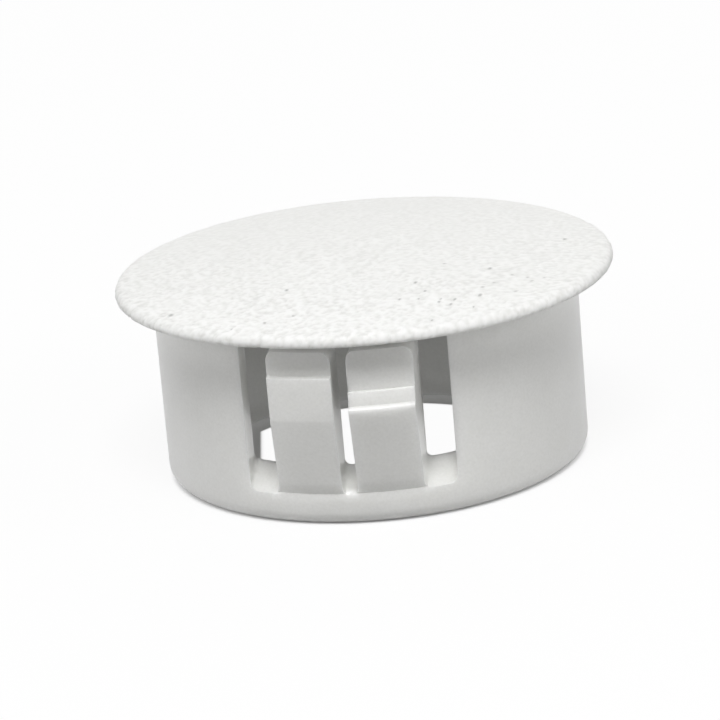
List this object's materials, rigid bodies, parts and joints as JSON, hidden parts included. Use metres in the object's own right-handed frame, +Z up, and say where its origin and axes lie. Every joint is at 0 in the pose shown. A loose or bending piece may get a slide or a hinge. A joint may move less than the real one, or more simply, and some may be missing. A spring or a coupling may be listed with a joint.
{
  "type": "hole plug",
  "caption": "Snap-in plug for a round hole in sheet metal: a low domed textured head on a hollow skirt whose windows hold stepped snap fingers.",
  "frame": {"origin": "middle of the open rim, on the surface that the plug stands on", "axes": "+Z up along the skirt's axis through the middle of the head, windows on the -Y and +Y sides"},
  "size_m": [0.0294, 0.0294, 0.0125],
  "materials": {
    "white_nylon": "satin moulded nylon, with a pebbled top on the head"
  },
  "bodies": {
    "root": {"hole_plug": "white_nylon"}
  },
  "joints": []
}
